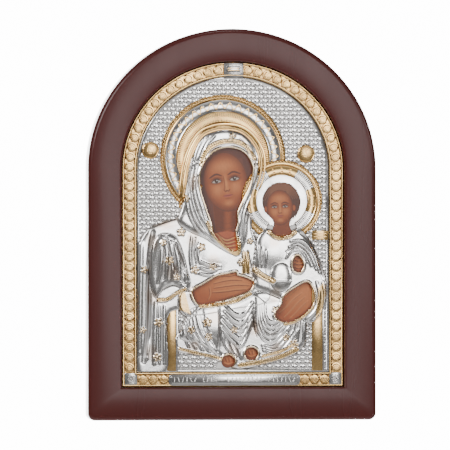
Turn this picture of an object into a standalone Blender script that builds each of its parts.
"""Wall icon panel: an arched wooden frame round a painted board under an embossed, partly gilt silver cover.

The panel hangs on a wall. Its front faces -Y, the wall is the plane y = 0 and +Z is up. The origin is on the
wall, in the middle of the hanger's bar. Every size and place is in metres, except in the relief functions:
the plan of the cover is read in millimetres, x from the middle of the frame and z from the frame's foot.
"""

import math

import bmesh
import bpy
import numpy as np
from mathutils import Matrix

MM = 0.001
GAP = 0.3 * MM

# Frame: an arched ring with a lip in front and a rebate behind it
FRAME_WIDTH = 192.4 * MM
FRAME_HEIGHT = 260.0 * MM
FRAME_DEPTH = 20.0 * MM
FRAME_SPRING = 166.9 * MM
FOOT_CORNER = 4.7 * MM
FRONT_ROUND = 3.0 * MM
LIP_THICKNESS = 4.5 * MM
LIP_CHAMFER = 1.2 * MM
REBATE_WIDTH = 4.5 * MM

# Window in the frame, a little right of the frame's middle as fitted by hand
WINDOW_MIDDLE = 0.6 * MM
WINDOW_HALF_WIDTH = 74.4 * MM
WINDOW_FOOT = 21.9 * MM
WINDOW_SPRING = 166.5 * MM
WINDOW_TOP = 238.3 * MM

# Boards behind the cover, and the hanger let in between the back board and the wall
COVER_SHEET = 1.3 * MM
PANEL_THICKNESS = 7.5 * MM
BACK_BOARD_THICKNESS = 3.0 * MM
HANGER_HEIGHT = 222.0 * MM
HANGER_LENGTH = 48.0 * MM
HANGER_WIDTH = 9.0 * MM
HANGER_STEEL = 1.0 * MM
HANGER_BAR_HALF = 13.0 * MM
HANGER_FOOT_HALF = 16.0 * MM
HANGER_TEETH = 9
TOOTH_PITCH = 2.2 * MM
TOOTH_DEPTH = 1.6 * MM
NAIL_PLACE = 20.0 * MM
NAIL_HEAD_RADIUS = 2.0 * MM
NAIL_HEAD_THICKNESS = 0.6 * MM
NAIL_RADIUS = 0.7 * MM
NAIL_HOLE_RADIUS = 1.05 * MM
NAIL_LENGTH = 3.6 * MM
NAIL_POINT = 0.4 * MM

# Planes along Y, from the frame's face back to the wall
FACE_PLANE = -FRAME_DEPTH
LIP_BACK = FACE_PLANE + LIP_THICKNESS
GROUND_PLANE = LIP_BACK + GAP
COVER_BACK = GROUND_PLANE + COVER_SHEET
PANEL_FRONT = COVER_BACK + GAP
PANEL_BACK = PANEL_FRONT + PANEL_THICKNESS
BOARD_FRONT = PANEL_BACK + GAP
BOARD_BACK = BOARD_FRONT + BACK_BOARD_THICKNESS
HANGER_FRONT = BOARD_BACK + GAP

# How finely curves and the relief are cut
ARCH_STEPS = 56
CORNER_STEPS = 5
NAIL_STEPS = 14
HOLE_SIDES = 16
GRID_STEP = 0.8
SHEET_TRIANGLES = 5200
ROUNDEL_SIDES = 8

# Border of the cover, in millimetres from the window's edge inwards
EDGE_CLEAR = 0.9
OUTER_FILLET = 1.6
ROUNDEL_LINE = 5.3
ROUNDEL_RADIUS = 3.2
ROUNDEL_TOP_RADIUS = 2.2
ROUNDEL_HEIGHT = 1.4
ROUNDEL_PITCH = 6.66
BAND_HEIGHT = 0.5
INNER_FILLET = 9.1
BORDER_LINE = 10.0
SILVER_BEVEL = 11.3

# Plates on the border and the ground: low x, low z, high x, high z and height
APEX_TABLET = (-5.2, 228.2, 7.2, 237.2, 1.5)
APEX_PLAQUE = (-3.4, 231.3, 5.3, 234.8, 1.9)
TITLE_PLAQUE = (-42.2, 23.5, 45.3, 30.5, 1.4)
LEFT_SQUARE = (-70.6, 24.0, -63.0, 31.3, 1.4)
RIGHT_SQUARE = (65.3, 24.0, 72.4, 31.3, 1.4)
SIDE_LABEL = (54.3, 120.3, 64.6, 125.6, 1.0)
LEFT_POST = (-43.0, 33.0, -37.4, 84.0, 1.3)
RIGHT_POST = (53.6, 33.0, 60.3, 92.0, 1.3)
PLATES = [APEX_TABLET, APEX_PLAQUE, TITLE_PLAQUE, LEFT_SQUARE, RIGHT_SQUARE,
          SIDE_LABEL, LEFT_POST, RIGHT_POST]

# Halos and discs: middle and radii
MOTHER_HALO = (-6.05, 174.2)
MOTHER_BANDS = (24.0, 30.6, 38.2, 40.5)
CHILD_HALO = (33.3, 145.9)
CHILD_BANDS = (16.5, 23.6, 25.9)
LEFT_DISC = (-54.5, 179.2, 5.5)
RIGHT_DISC = (49.5, 177.0, 5.7)
COLLAR_WIDTH = 4.9
COLLAR_FOOT = 136.0
COLLAR_FADE = 12.0
SHOULDER_LINE = 132.0

# Clothed masses: outline, height of the top and width of the rounded edge
CLOAK = [(-63.8, 33), (-63.8, 110), (-61.5, 119), (-56, 127), (-47, 131.5), (-37, 134.5), (-20, 140),
         (10, 140), (14, 126), (17, 116), (22, 100), (24, 80), (0, 74), (-24, 70), (-36, 73), (-43.4, 66),
         (-43.4, 33)]
VEIL = [(-36.5, 132), (-34, 141), (-31.5, 152), (-29.5, 166), (-26, 178), (-20, 188), (-12, 192),
        (-3, 193), (6, 191), (13, 185), (17.6, 176), (17.6, 165), (15, 155), (12, 146), (10, 136),
        (10, 124), (7, 114), (2, 109.5), (-8, 114), (-18, 120.5), (-30, 126)]
UPPER_ARM = [(-53, 118), (-47, 124), (-38, 122), (-33, 112), (-30, 100), (-28, 90), (-32, 85.5), (-38, 89),
             (-45, 88), (-51, 81), (-55, 90), (-56, 105)]
SLEEVE_HEM = [(-50.5, 79), (-47.5, 86), (-41, 89.5), (-36, 89), (-31, 85.5), (-38, 82.5), (-44, 78.5)]
CUFF = [(-35.5, 73.5), (-35.5, 84.5), (-27.5, 86), (-22, 76.5), (-29, 68.5)]
UNDER_HEM = [(-36.4, 46), (-36.4, 58), (-20, 60), (0, 44), (-8, 39), (-14, 41), (-25, 43.5)]
LAP = [(-35, 55), (-31, 68), (-25, 75), (0, 79), (12, 84), (22, 86), (34, 83), (46, 78), (50, 68),
       (49.3, 52), (43, 44.5), (34, 40.3), (20, 36.4), (8, 34.2), (0, 35), (-7, 40.5), (-13, 45),
       (-18, 49), (-24, 51)]
TUNIC = [(13.5, 99), (15, 113), (17, 122), (22, 126.8), (28, 126), (33.5, 122), (39, 125.5), (45, 127.5),
         (51, 121.5), (57, 111), (61.5, 99), (63.2, 90), (62, 76), (57, 67), (49, 65), (36, 78), (24, 84),
         (15, 88)]
MASSES = [(CLOAK, 2.0, 4.0), (UPPER_ARM, 2.9, 5.0), (VEIL, 3.0, 4.5), (UNDER_HEM, 1.9, 2.0), (LAP, 3.1, 4.5),
          (TUNIC, 3.0, 4.5), (SLEEVE_HEM, 3.3, 1.2), (CUFF, 3.1, 2.0)]

# Rounded swellings of the body under the cloth: middle, half-widths and added height
SWELLINGS = [(-14, 62, 17, 15, 0.7), (31, 66, 15, 13, 0.7), (-44, 106, 9, 20, 0.5), (27, 111, 10, 13, 0.5),
             (-14, 108, 12, 12, 0.4)]
ORB = (32.3, 95.3, 7.7, 10.2, 3.9)

# Groups of folds: the first and the last fold's guide points, how many, height and half-width
FOLDS = [
    ([(-31, 168), (-31, 150), (-27.5, 134), (-18, 122.5), (-5, 114.5)],
     [(-20.5, 172), (-24, 157), (-20.5, 142), (-15, 127), (-4, 117.5)], 5, 0.55, 1.5),
    ([(-20, 188), (-24, 179), (-27, 168)], [(-11, 190), (-17, 183), (-20, 175)], 3, 0.5, 1.6),
    ([(15, 174), (14.3, 158), (8, 144), (5.3, 133), (5.5, 117)],
     [(17, 168), (15.7, 152), (11, 140), (9.3, 130), (9, 119)], 3, 0.5, 1.1),
    ([(-47, 119), (-47.5, 105), (-49.5, 92)], [(-36, 118), (-32, 104), (-30.5, 92)], 5, 0.75, 1.7),
    ([(-60.5, 118), (-61, 90), (-61.8, 45)], [(-51, 78), (-51.5, 60), (-52, 38)], 3, 0.6, 2.0),
    ([(-48.5, 76), (-48.5, 56), (-48.5, 38)], [(-45.3, 76), (-45.3, 56), (-45.3, 38)], 2, 0.5, 1.3),
    ([(-27, 122), (-28, 110), (-27, 99)], [(-22, 118), (-22.5, 110), (-21, 104)], 3, 0.4, 1.3),
    ([(-22, 106), (-15, 103), (-8, 102.5)], [(-23, 98), (-15, 96.5), (-8, 99)], 3, 0.4, 1.4),
    ([(-33, 68), (-32, 58), (-29, 49)], [(-25, 73), (-20.5, 58), (-10.5, 44.5)], 5, 0.7, 1.5),
    ([(-4.5, 76), (2, 70.5), (8, 71), (13.5, 78.5)], [(-8, 62), (0, 53), (6, 50), (13.5, 66)], 5, 0.8, 1.6),
    ([(-7.5, 60), (-5, 51), (-1, 44.5)], [(3, 51.5), (4.5, 46), (6, 41)], 3, 0.5, 1.4),
    ([(21.5, 78), (22.5, 69), (26, 65.2), (31, 66)],
     [(16.3, 82), (17, 62), (25, 52), (38, 62)], 5, 0.8, 1.4),
    ([(20, 50), (28, 49.5), (37, 58)], [(21, 46.5), (32, 45.5), (44, 60)], 3, 0.5, 1.4),
    ([(38.5, 65), (35, 53)], [(48, 66), (47.5, 52)], 4, 0.5, 1.2),
    ([(17, 116), (17.3, 102)], [(23, 113), (21.8, 102)], 3, 0.45, 1.2),
    ([(36, 108), (40, 113), (46, 112), (50, 105)],
     [(39, 119), (47, 119), (54, 110.5), (58.5, 98)], 4, 0.6, 1.4),
    ([(56.5, 92), (58, 83), (55.5, 73), (49, 66)],
     [(60.5, 92), (62, 82), (59.5, 71), (51.5, 63)], 2, 0.6, 1.5),
    ([(7, 113), (7.8, 104), (8, 97)], [(11, 110), (12.6, 104), (13.4, 98)], 3, 0.45, 1.1),
]

# Single lines: guide points, height of a raised trim or minus the depth of a crease, and half-width
LINES = [
    ([(-53, 125), (-55, 110), (-55.8, 90), (-56.5, 60), (-59, 39)], -1.2, 2.2),
    ([(-38.5, 119), (-34.5, 110), (-31.5, 99)], -1.2, 1.3),
    ([(-44, 122), (-41.5, 112), (-38, 100), (-32, 91)], -0.9, 1.2),
    ([(-9, 76), (-8.5, 62), (-9.6, 46)], -0.9, 1.0),
    ([(14.3, 72), (14.6, 63), (16.6, 56)], -1.6, 1.1),
    ([(45, 126), (53, 117.5), (58.7, 104), (62, 93)], -0.9, 2.0),
    ([(10.3, 112), (13.6, 98.5)], -0.8, 0.9),
    ([(-19, 174), (-14, 181.5), (-2, 184.5), (8, 181.5), (14.5, 173)], 0.6, 1.8),
    ([(24.5, 125), (29, 121.6), (33.5, 121), (38, 122), (42, 125)], 0.6, 1.3),
    ([(15, 100), (20, 95.5), (27, 91)], 0.6, 3.0),
    ([(5, 36.5), (20, 39), (33, 42.5)], 0.5, 1.8),
]

# Openings that show the painting: the mother's veil, the child's head and collar, the hands and the feet
VEIL_OPENING = [(-3, 181), (7.5, 178), (13.2, 168.5), (12, 157), (7, 146.5), (3.4, 138), (3.4, 131),
                (2, 124), (3.2, 117), (2.6, 112.8), (-1.5, 113.4), (-7, 117.5), (-11.6, 123), (-13.8, 131),
                (-18, 143), (-21.3, 155), (-20.3, 167), (-13.2, 177.5)]
CHILD_OPENING = [(33.2, 158.2), (41.2, 155.4), (45.8, 147), (44.2, 138), (39.1, 132), (38.9, 128),
                 (40.2, 125), (36, 122.8), (30, 122.8), (26.6, 125), (27.8, 129), (27.2, 133), (21.8, 139),
                 (20.4, 147.5), (25.2, 155.5)]
RIGHT_HAND = [(-26.5, 85.5), (-18, 91.3), (-10, 95.8), (-3, 97.4), (2.4, 98.5), (3.2, 96.6), (8.5, 95),
              (13.8, 92), (12.6, 87.2), (5.8, 83.6), (-3, 80.6), (-12, 78.3), (-22.5, 77.2)]
LEFT_HAND = [(49.5, 91.8), (53.4, 87.5), (54.8, 82), (53.2, 75.5), (46.5, 69.3), (39, 65.4), (32.5, 66),
             (28.6, 68.8), (29.4, 72.4), (33, 77.2), (34.4, 82), (39.5, 86.5)]
FIST = [(40.4, 102.6), (41, 107), (43.6, 109.4), (46.3, 107), (47.6, 102.6), (45.8, 98.9), (43.2, 98.5),
        (41, 100)]
LEFT_FOOT = (-2.7, 39.2, 4.3)
RIGHT_FOOT = (12.7, 44.2, 4.3)
FOOT_SIDES = 14
RIM_HEIGHT = 0.6
RIM_WIDTH = 1.3
HIGHEST = 4.1


def spline(points, steps=8, closed=False):
    """A smooth line through the guide points."""
    guides = np.array(points, float)
    if len(guides) == 2 and not closed:
        return guides
    if closed:
        guides = np.vstack([guides[-1], guides, guides[0], guides[1]])
    else:
        guides = np.vstack([2 * guides[0] - guides[1], guides, 2 * guides[-1] - guides[-2]])
    line = []
    for a, b, c, d in zip(guides, guides[1:], guides[2:], guides[3:]):
        for t in np.arange(steps) / steps:
            line.append(0.5 * (2 * b + (c - a) * t + (2 * a - 5 * b + 4 * c - d) * t ** 2
                               + (3 * b - a - 3 * c + d) * t ** 3))
    if not closed:
        line.append(guides[-2])
    return np.array(line)


def circle(middle_x, middle_z, radius, sides):
    """A round outline."""
    angles = 2 * math.pi * np.arange(sides) / sides
    return np.column_stack([middle_x + radius * np.cos(angles), middle_z + radius * np.sin(angles)])


def near(x, z, line, reach):
    """Which places lie within reach of the box around a line."""
    low = line.min(axis=0) - reach
    high = line.max(axis=0) + reach
    return (x > low[0]) & (x < high[0]) & (z > low[1]) & (z < high[1])


def distance_to_line(x, z, line):
    """Distance of each point to a line, and how far along it the nearest place is, from 0 to 1."""
    nearest = np.full(x.shape, 1e9)
    along = np.zeros(x.shape)
    lengths = np.hypot(*np.diff(line, axis=0).T)
    start = 0.0
    for (ax, az), (bx, bz), length in zip(line, line[1:], lengths):
        t = np.clip(((x - ax) * (bx - ax) + (z - az) * (bz - az)) / length ** 2, 0, 1)
        gap = np.hypot(x - ax - t * (bx - ax), z - az - t * (bz - az))
        closer = gap < nearest
        nearest = np.where(closer, gap, nearest)
        along = np.where(closer, (start + t * length) / lengths.sum(), along)
        start += length
    return nearest, along


def depth_inside(x, z, outline, reach=0.0):
    """Distance to a closed outline, positive inside it, and very low past the reach outside it."""
    ring = np.vstack([outline, outline[:1]])
    depth = np.full(x.shape, -1e9)
    spot = near(x, z, ring, reach)
    px, pz = x[spot], z[spot]
    gap, _ = distance_to_line(px, pz, ring)
    inside = np.zeros(px.shape, bool)
    for (ax, az), (bx, bz) in zip(ring, ring[1:]):
        if az != bz:
            inside ^= ((az > pz) != (bz > pz)) & (px < (bx - ax) * (pz - az) / (bz - az) + ax)
    depth[spot] = np.where(inside, gap, -gap)
    return depth


def add_line(relief, x, z, guides, rise, half_width):
    """Adds a raised or sunk line through the guide points that dies away at both ends."""
    line = spline(guides)
    spot = near(x, z, line, half_width)
    gap, along = distance_to_line(x[spot], z[spot], line)
    relief[spot] += rise * ridge(gap, half_width) * np.sin(math.pi * np.clip(along, 0.03, 0.97)) ** 0.5


def rounded(depth, width):
    """Quarter-round edge profile: 0 at the outline, 1 from the given width inwards."""
    t = np.clip(depth / width, 0, 1)
    return np.sqrt(1 - (1 - t) ** 2)


def ridge(distance, half_width):
    """Rounded ridge profile: 1 on its line, 0 from the half-width outwards."""
    t = np.clip(distance / half_width, 0, 1)
    return (1 - t * t) ** 2


def window_depth(x, z):
    """Distance inwards from the window's edge in millimetres."""
    half = WINDOW_HALF_WIDTH / MM
    spring = WINDOW_SPRING / MM
    rise = (WINDOW_TOP - WINDOW_SPRING) / MM
    across = x - WINDOW_MIDDLE / MM
    up = np.maximum(z - spring, 0)
    reach = np.hypot(across, up) + 1e-9
    edge = 1 / np.hypot(across / reach / half, up / reach / rise)
    arch = edge - reach
    side = half - np.abs(across)
    foot = z - WINDOW_FOOT / MM
    straight = np.minimum(side, foot)
    return np.where(z > spring, arch, straight)


def plate(height, x, z, box):
    """Raises a flat rectangular plate with a narrow sloping edge."""
    low_x, low_z, high_x, high_z, top = box
    inside = np.minimum(np.minimum(x - low_x, high_x - x), np.minimum(z - low_z, high_z - z))
    return np.maximum(height, top * np.clip(inside / 0.5, 0, 1) * (inside > 0))


def roundel_places():
    """Middles of the border's roundels: up the sides, over the arch and beside the title plaque."""
    middle = WINDOW_MIDDLE / MM
    half = WINDOW_HALF_WIDTH / MM - ROUNDEL_LINE
    spring = WINDOW_SPRING / MM
    rise = (WINDOW_TOP - WINDOW_SPRING) / MM - ROUNDEL_LINE
    first = WINDOW_FOOT / MM + 2 * ROUNDEL_LINE + 2.7
    side_count = int((spring - first) / ROUNDEL_PITCH) + 1
    arch_start = (first + side_count * ROUNDEL_PITCH - spring) / half
    tablet_edge = math.pi / 2 - (APEX_TABLET[2] - APEX_TABLET[0]) / 2 / rise - ROUNDEL_RADIUS / rise
    arch_count = int((tablet_edge - arch_start) * half / ROUNDEL_PITCH) + 1
    arch_pitch = (tablet_edge - arch_start) / (arch_count - 1)
    places = []
    for side in (-1, 1):
        for step in range(side_count):
            places.append((middle + side * half, first + step * ROUNDEL_PITCH))
        for step in range(arch_count):
            angle = arch_start + step * arch_pitch
            places.append((middle + side * half * math.cos(angle), spring + rise * math.sin(angle)))
    foot_line = WINDOW_FOOT / MM + ROUNDEL_LINE
    for low, high in ((LEFT_SQUARE[2], TITLE_PLAQUE[0]), (TITLE_PLAQUE[2], RIGHT_SQUARE[0])):
        for step in range(3):
            places.append((low + (high - low) * (step + 0.5) / 3, foot_line))
    return places


def border_relief(x, z):
    """Fillets and plates of the gilt border without its roundels, and the plates that stand on the ground."""
    depth = window_depth(x, z)
    height = 1.1 * ridge(np.abs(depth - OUTER_FILLET), 0.9)
    height = np.maximum(height, BAND_HEIGHT * (depth > 2.2) * (depth < BORDER_LINE))
    height = np.maximum(height, 1.3 * ridge(np.abs(depth - INNER_FILLET), 0.9))
    height = np.maximum(height, 0.7 * ridge(np.abs(depth - SILVER_BEVEL), 1.0))
    for box in PLATES:
        height = plate(height, x, z, box)
    for middle_x, middle_z, radius in (LEFT_DISC, RIGHT_DISC):
        reach = np.hypot(x - middle_x, z - middle_z)
        height = np.maximum(height, 0.8 * (reach < radius) + 0.3 * ridge(np.abs(reach - radius + 0.6), 0.6))
    return height


def halo_relief(height, x, z):
    """The mother's banded halo behind the child's, each with a rope edge."""
    inner, rib_edge, band_edge, rope = MOTHER_BANDS
    reach = np.hypot(x - MOTHER_HALO[0], z - MOTHER_HALO[1])
    band = 0.5 * (reach < rope) + 0.2 * (reach < rib_edge)
    band = band + 0.6 * ridge(np.abs(reach - rope), 1.1) + 0.3 * ridge(np.abs(reach - band_edge), 0.7)
    band = band + 0.3 * ridge(np.abs(reach - rib_edge), 0.7)
    height = np.where(z > SHOULDER_LINE, np.maximum(height, band), height)
    hug = -depth_inside(x, z, spline(VEIL, closed=True), COLLAR_WIDTH)
    collar = 1.0 + 0.6 * ridge(np.abs(hug - 1.6), 1.0) + 0.6 * ridge(np.abs(hug - 4.0), 1.0)
    collar = collar * np.clip((z - COLLAR_FOOT) / COLLAR_FADE, 0, 1)
    height = np.where((hug > 0) & (hug < COLLAR_WIDTH), np.maximum(height, collar), height)
    child_inner, child_band, child_rope = CHILD_BANDS
    reach = np.hypot(x - CHILD_HALO[0], z - CHILD_HALO[1])
    disc = 1.0 + 0.6 * ridge(np.abs(reach - child_rope), 1.1) + 0.3 * ridge(np.abs(reach - child_band), 0.7)
    disc = disc + 0.3 * (reach < child_inner)
    return np.where(reach < child_rope + 1.0, disc, height)


def figure_relief(height, x, z):
    """The clothed mother and child: overlapping masses, swellings, folds and creases."""
    cloth = np.zeros(x.shape)
    for outline, top, edge in MASSES:
        inside = depth_inside(x, z, spline(outline, closed=True))
        mound = top * (0.6 + 0.4 * rounded(inside, edge))
        cloth = np.where(inside > 0, np.maximum(mound, cloth - 0.5), cloth)
    covered = (cloth > 0.1) & (window_depth(x, z) > SILVER_BEVEL - 1.0)
    relief = cloth.copy()
    for middle_x, middle_z, half_x, half_z, swell in SWELLINGS:
        reach = np.hypot((x - middle_x) / half_x, (z - middle_z) / half_z)
        relief += swell * ridge(reach, 1.0)
    for first, last, count, rise, half_width in FOLDS:
        for t in np.linspace(0, 1, count):
            add_line(relief, x, z, np.array(first) * (1 - t) + np.array(last) * t, rise, half_width)
    for guides, rise, half_width in LINES:
        add_line(relief, x, z, guides, rise, half_width)
    relief = np.where(covered, np.maximum(relief, 0.8), 0)
    orb_x, orb_z, orb_half_x, orb_half_z, orb_top = ORB
    reach = np.hypot((x - orb_x) / orb_half_x, (z - orb_z) / orb_half_z)
    relief = np.where(reach < 1, np.maximum(relief, 2.6 + (orb_top - 2.6) * rounded(1 - reach, 0.8)), relief)
    return np.where(covered, np.maximum(relief, height), height)


def opening_outlines():
    """Outlines of the openings through which the painting shows."""
    guides = (VEIL_OPENING, CHILD_OPENING, RIGHT_HAND, LEFT_HAND, FIST)
    drawn = [spline(points, 3, closed=True) for points in guides]
    return drawn + [circle(*foot, FOOT_SIDES) for foot in (LEFT_FOOT, RIGHT_FOOT)]


def cover_height(x, z):
    """Height of the cover above its ground in millimetres, for arrays of places in millimetres."""
    height = border_relief(x, z)
    height = halo_relief(height, x, z)
    height = figure_relief(height, x, z)
    opening = np.full(x.shape, -1e9)
    for outline in opening_outlines():
        opening = np.maximum(opening, depth_inside(x, z, outline, RIM_WIDTH * 2))
    height += RIM_HEIGHT * ridge(np.abs(opening + RIM_WIDTH / 2), RIM_WIDTH) * (height > 1.2)
    return np.where(window_depth(x, z) > EDGE_CLEAR, np.minimum(height, HIGHEST), 0)


def arch_outline(middle, half_width, foot, spring, top, corner):
    """Arched outline in metres, seen from the front: square or rounded foot, elliptical head."""
    outline = []
    if corner > 0:
        for side, first_angle in ((-1, math.pi), (1, 1.5 * math.pi)):
            for step in range(CORNER_STEPS + 1):
                angle = first_angle + 0.5 * math.pi * step / CORNER_STEPS
                outline.append((middle + side * (half_width - corner) + corner * math.cos(angle),
                                foot + corner + corner * math.sin(angle)))
    else:
        outline += [(middle - half_width, foot), (middle + half_width, foot)]
    for step in range(ARCH_STEPS + 1):
        angle = math.pi * step / ARCH_STEPS
        outline.append((middle + half_width * math.cos(angle), spring + (top - spring) * math.sin(angle)))
    return outline


def window_outline(outwards):
    """The window's outline, moved outwards by a distance in metres."""
    return arch_outline(WINDOW_MIDDLE, WINDOW_HALF_WIDTH + outwards, WINDOW_FOOT - outwards, WINDOW_SPRING,
                        WINDOW_TOP + outwards, 0)


def make_material(name, colour, roughness, metallic):
    """One plain material."""
    material = bpy.data.materials.new(name)
    material.use_nodes = True
    shader = material.node_tree.nodes["Principled BSDF"]
    shader.inputs["Base Color"].default_value = (*colour, 1)
    shader.inputs["Roughness"].default_value = roughness
    shader.inputs["Metallic"].default_value = metallic
    material.diffuse_color = (*colour, 1)
    return material


def place(name, mesh, collection, material=None):
    """Puts a mesh into a collection as a named object."""
    piece = bpy.data.objects.new(name, mesh)
    collection.objects.link(piece)
    if material:
        mesh.materials.append(material)
    return piece


def cast_slab(name, outline, front, back, collection, material=None):
    """A flat slab with the given outline, between two planes along Y."""
    curve = bpy.data.curves.new(name, "CURVE")
    curve.dimensions = "2D"
    curve.fill_mode = "BOTH"
    curve.extrude = (back - front) / 2
    line = curve.splines.new("POLY")
    line.points.add(len(outline) - 1)
    for point, (x, z) in zip(line.points, outline):
        point.co = (x, z - HANGER_HEIGHT, 0, 1)
    line.use_cyclic_u = True
    flat = bpy.data.objects.new(name, curve)
    flat.rotation_euler = (math.pi / 2, 0, 0)
    flat.location = (0, (front + back) / 2, 0)
    bpy.context.scene.collection.objects.link(flat)
    bpy.context.view_layer.update()
    mesh = bpy.data.meshes.new_from_object(flat.evaluated_get(bpy.context.evaluated_depsgraph_get()))
    mesh.transform(flat.matrix_world)
    bpy.data.objects.remove(flat)
    shape = bmesh.new()
    shape.from_mesh(mesh)
    bmesh.ops.remove_doubles(shape, verts=shape.verts, dist=0.01 * MM)
    bmesh.ops.dissolve_limit(shape, angle_limit=math.radians(0.5), verts=shape.verts, edges=shape.edges)
    bmesh.ops.recalc_face_normals(shape, faces=shape.faces)
    shape.to_mesh(mesh)
    shape.free()
    mesh.materials.clear()
    return place(name, mesh, collection, material)


def cut(piece, cutter, operation="DIFFERENCE"):
    """Cuts a piece with a cutter object."""
    modifier = piece.modifiers.new(cutter.name, "BOOLEAN")
    modifier.operation = operation
    modifier.object = cutter
    modifier.solver = "EXACT"
    cutter.hide_render = True
    cutter.display_type = "WIRE"


def smooth(piece, angle):
    """Shades the mesh smooth, with sharp edges past the angle in degrees."""
    piece.data.shade_smooth()
    piece.data.set_sharp_from_angle(angle=math.radians(angle))


def round_front_edge(piece, width, segments):
    """Rounds the outline edge of a slab's front face."""
    mesh = piece.data
    weight = mesh.attributes.new("bevel_weight_edge", "FLOAT", "EDGE")
    for edge in mesh.edges:
        ends = [mesh.vertices[index].co.y for index in edge.vertices]
        weight.data[edge.index].value = 1.0 if max(ends) < FACE_PLANE + 0.01 * MM else 0.0
    bevel = piece.modifiers.new("front edge", "BEVEL")
    bevel.limit_method = "WEIGHT"
    bevel.width = width
    bevel.segments = segments


def build_frame(parts, cutters):
    """The wooden ring: rounded front edge, chamfered window, rebate behind the lip."""
    wood = make_material("mahogany lacquer", (0.105, 0.036, 0.034), 0.28, 0.0)
    outline = arch_outline(0, FRAME_WIDTH / 2, 0, FRAME_SPRING, FRAME_HEIGHT, FOOT_CORNER)
    frame = cast_slab("wood_frame", outline, FACE_PLANE, 0, parts, wood)
    round_front_edge(frame, FRONT_ROUND, 3)
    window = cast_slab("window cutter", window_outline(0), FACE_PLANE - LIP_THICKNESS, LIP_THICKNESS, cutters)
    rebate = cast_slab("rebate cutter", window_outline(REBATE_WIDTH), LIP_BACK, LIP_THICKNESS, cutters)
    cut(frame, window)
    cut(frame, rebate)
    cut(frame, build_chamfer(cutters))
    smooth(frame, 30)
    return frame


def build_chamfer(cutters):
    """A shallow funnel that takes the sharp edge off the window's front."""
    shape = bmesh.new()
    rings = []
    for outwards, plane in ((-0.5 * MM, LIP_CHAMFER + 0.5 * MM), (LIP_CHAMFER + 1 * MM, -1 * MM)):
        y = FACE_PLANE + plane
        ring = [shape.verts.new((x, y, z - HANGER_HEIGHT)) for x, z in window_outline(outwards)]
        rings.append([shape.edges.new(pair) for pair in zip(ring, ring[1:] + ring[:1])])
    bmesh.ops.bridge_loops(shape, edges=rings[0] + rings[1])
    for ring in rings:
        bmesh.ops.contextual_create(shape, geom=ring)
    bmesh.ops.recalc_face_normals(shape, faces=shape.faces)
    mesh = bpy.data.meshes.new("chamfer cutter")
    shape.to_mesh(mesh)
    shape.free()
    return place("chamfer cutter", mesh, cutters)


def build_painted_panel(parts):
    """The board under the cover that carries the painting."""
    paint = make_material("painted board", (0.45, 0.20, 0.12), 0.45, 0.0)
    outline = window_outline(REBATE_WIDTH - GAP)
    return cast_slab("painted_panel", outline, PANEL_FRONT, PANEL_BACK, parts, paint)


def build_back_board(parts, cutters):
    """The thin board that closes the back, with the two nail holes."""
    fibre = make_material("brown fibreboard", (0.20, 0.115, 0.06), 0.75, 0.0)
    outline = window_outline(REBATE_WIDTH - GAP)
    board = cast_slab("back_board", outline, BOARD_FRONT, BOARD_BACK, parts, fibre)
    for side in (-1, 1):
        cut(board, build_nail_hole("board hole", side, cutters))
    return board


def build_nail_hole(name, side, cutters):
    """A round cutter where a hanger nail passes."""
    shape = bmesh.new()
    bmesh.ops.create_cone(shape, cap_ends=True, segments=HOLE_SIDES, radius1=NAIL_HOLE_RADIUS,
                          radius2=NAIL_HOLE_RADIUS, depth=FRAME_DEPTH)
    bmesh.ops.rotate(shape, verts=shape.verts, matrix=Matrix.Rotation(math.pi / 2, 3, "X"))
    bmesh.ops.translate(shape, verts=shape.verts, vec=(side * NAIL_PLACE, BOARD_BACK, 0))
    mesh = bpy.data.meshes.new(name)
    shape.to_mesh(mesh)
    shape.free()
    return place(name, mesh, cutters)


def build_cover(parts, cutters):
    """The embossed cover: one sheet whose front follows the relief, cut to the rebate and the openings."""
    silver = make_material("embossed silver", (0.86, 0.84, 0.82), 0.25, 1.0)
    margin = 1.0
    middle = WINDOW_MIDDLE / MM
    half = (WINDOW_HALF_WIDTH + REBATE_WIDTH) / MM + margin
    low = (WINDOW_FOOT - REBATE_WIDTH) / MM - margin
    high = (WINDOW_TOP + REBATE_WIDTH) / MM + margin
    columns = int(2 * half / GRID_STEP)
    rows = int((high - low) / GRID_STEP)
    shape = bmesh.new()
    bmesh.ops.create_grid(shape, x_segments=columns, y_segments=rows, size=0.5)
    plan = np.array([vertex.co for vertex in shape.verts])
    x = middle + plan[:, 0] * 2 * half
    z = (low + high) / 2 + plan[:, 1] * (high - low)
    height = cover_height(x, z)
    for vertex, px, pz, rise in zip(shape.verts, x, z, height):
        vertex.co = (px * MM, GROUND_PLANE - rise * MM, pz * MM - HANGER_HEIGHT)
    border = [edge for edge in shape.edges if edge.is_boundary]
    skirt = bmesh.ops.extrude_edge_only(shape, edges=border)["geom"]
    for vertex in [item for item in skirt if isinstance(item, bmesh.types.BMVert)]:
        vertex.co.y = COVER_BACK
    rim = [item for item in skirt if isinstance(item, bmesh.types.BMEdge)]
    bmesh.ops.contextual_create(shape, geom=rim)
    bmesh.ops.recalc_face_normals(shape, faces=shape.faces)
    mesh = bpy.data.meshes.new("silver_cover")
    shape.to_mesh(mesh)
    shape.free()
    cover = place("silver_cover", mesh, parts, silver)
    front = FACE_PLANE - LIP_THICKNESS
    cut(cover, cast_slab("cover outline", window_outline(REBATE_WIDTH - GAP), front, LIP_THICKNESS, cutters),
        "INTERSECT")
    for number, outline in enumerate(opening_outlines()):
        cutter = cast_slab(f"opening {number}", outline * MM, front, COVER_BACK + LIP_THICKNESS, cutters)
        cut(cover, cutter)
    thin = cover.modifiers.new("fewer faces", "DECIMATE")
    thin.ratio = SHEET_TRIANGLES / (2.0 * columns * rows)
    cut(cover, build_roundels(cutters), "UNION")
    return cover


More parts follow.
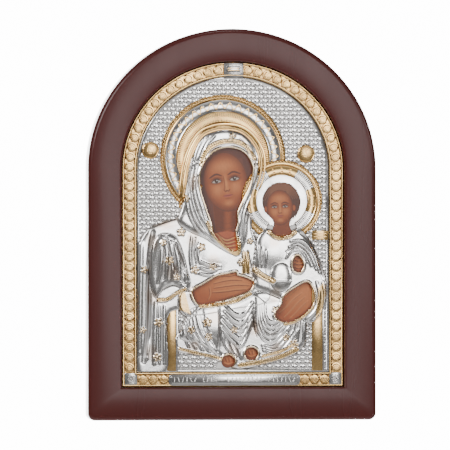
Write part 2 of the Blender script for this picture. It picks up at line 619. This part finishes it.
def build_roundels(cutters):
    """The border's round bosses, sunk a little into its band."""
    shape = bmesh.new()
    sunk = BAND_HEIGHT * MM
    depth = ROUNDEL_HEIGHT * MM + sunk
    for x, z in roundel_places():
        boss = bmesh.ops.create_cone(shape, cap_ends=True, segments=ROUNDEL_SIDES, depth=depth,
                                     radius1=ROUNDEL_RADIUS * MM, radius2=ROUNDEL_TOP_RADIUS * MM)
        bmesh.ops.rotate(shape, verts=boss["verts"], matrix=Matrix.Rotation(math.pi / 2, 3, "X"))
        middle = GROUND_PLANE + sunk - depth / 2
        bmesh.ops.translate(shape, verts=boss["verts"], vec=(x * MM, middle, z * MM - HANGER_HEIGHT))
    mesh = bpy.data.meshes.new("roundels")
    shape.to_mesh(mesh)
    shape.free()
    return place("roundels", mesh, cutters)


def build_hanger(parts, cutters):
    """Toothed hanger: a steel strip on two feet, its bar's back flush with the wall."""
    steel = make_material("zinc-plated steel", (0.62, 0.61, 0.58), 0.35, 1.0)
    profile = [(-HANGER_LENGTH / 2, HANGER_FRONT), (-HANGER_FOOT_HALF, HANGER_FRONT),
               (-HANGER_BAR_HALF, -HANGER_STEEL), (HANGER_BAR_HALF, -HANGER_STEEL),
               (HANGER_FOOT_HALF, HANGER_FRONT), (HANGER_LENGTH / 2, HANGER_FRONT)]
    outline = profile + [(x, y + HANGER_STEEL) for x, y in reversed(profile)]
    shape = bmesh.new()
    ring = [shape.verts.new((x, y, -HANGER_WIDTH / 2)) for x, y in outline]
    face = shape.faces.new(ring)
    grown = bmesh.ops.extrude_face_region(shape, geom=[face])["geom"]
    risen = [item for item in grown if isinstance(item, bmesh.types.BMVert)]
    bmesh.ops.translate(shape, verts=risen, vec=(0, 0, HANGER_WIDTH))
    bmesh.ops.recalc_face_normals(shape, faces=shape.faces)
    mesh = bpy.data.meshes.new("hanger")
    shape.to_mesh(mesh)
    shape.free()
    hanger = place("hanger", mesh, parts, steel)
    for side in (-1, 1):
        cut(hanger, build_nail_hole("hanger hole", side, cutters))
    cut(hanger, build_teeth(cutters))
    return hanger


def build_teeth(cutters):
    """The row of V notches under the hanger's bar, as one comb."""
    half = HANGER_TEETH * TOOTH_PITCH / 2
    foot = HANGER_HEIGHT - HANGER_WIDTH / 2
    outline = [(-half, foot - TOOTH_DEPTH)]
    for tooth in range(HANGER_TEETH):
        start = -half + tooth * TOOTH_PITCH
        outline += [(start, foot - 0.1 * MM), (start + TOOTH_PITCH / 2, foot + TOOTH_DEPTH)]
    outline += [(half, foot - 0.1 * MM), (half, foot - TOOTH_DEPTH)]
    return cast_slab("teeth cutter", list(reversed(outline)), -2 * HANGER_STEEL, HANGER_STEEL, cutters)


def build_nail(name, side, parts):
    """A turned nail whose head lies on the hanger's foot and whose shank is in the back board."""
    brass = make_material("brass nail", (0.72, 0.52, 0.22), 0.3, 1.0)
    head = HANGER_FRONT + HANGER_STEEL + GAP
    profile = [(0, head + NAIL_HEAD_THICKNESS), (NAIL_HEAD_RADIUS * 0.7, head + NAIL_HEAD_THICKNESS),
               (NAIL_HEAD_RADIUS, head + NAIL_HEAD_THICKNESS * 0.4), (NAIL_HEAD_RADIUS, head),
               (NAIL_RADIUS, head), (NAIL_RADIUS, head - NAIL_LENGTH), (0, head - NAIL_LENGTH - NAIL_POINT)]
    mesh = bpy.data.meshes.new(name)
    links = [(n, n + 1) for n in range(len(profile) - 1)]
    mesh.from_pydata([(radius, 0, y) for radius, y in profile], links, [])
    nail = place(name, mesh, parts, brass)
    nail.rotation_euler = (-math.pi / 2, 0, 0)
    nail.location = (side * NAIL_PLACE, 0, 0)
    turn = nail.modifiers.new("turned", "SCREW")
    turn.steps = NAIL_STEPS
    turn.render_steps = NAIL_STEPS
    turn.use_merge_vertices = True
    turn.merge_threshold = 0.01 * MM
    turn.use_smooth_shade = False
    return nail


def main():
    """Clears the scene and builds every piece."""
    for old in list(bpy.data.objects):
        bpy.data.objects.remove(old)
    parts = bpy.data.collections.new("icon panel")
    cutters = bpy.data.collections.new("cutters")
    for collection in (parts, cutters):
        bpy.context.scene.collection.children.link(collection)
    build_frame(parts, cutters)
    build_painted_panel(parts)
    build_back_board(parts, cutters)
    build_cover(parts, cutters)
    build_hanger(parts, cutters)
    build_nail("hanger_nail_left", -1, parts)
    build_nail("hanger_nail_right", 1, parts)


main()
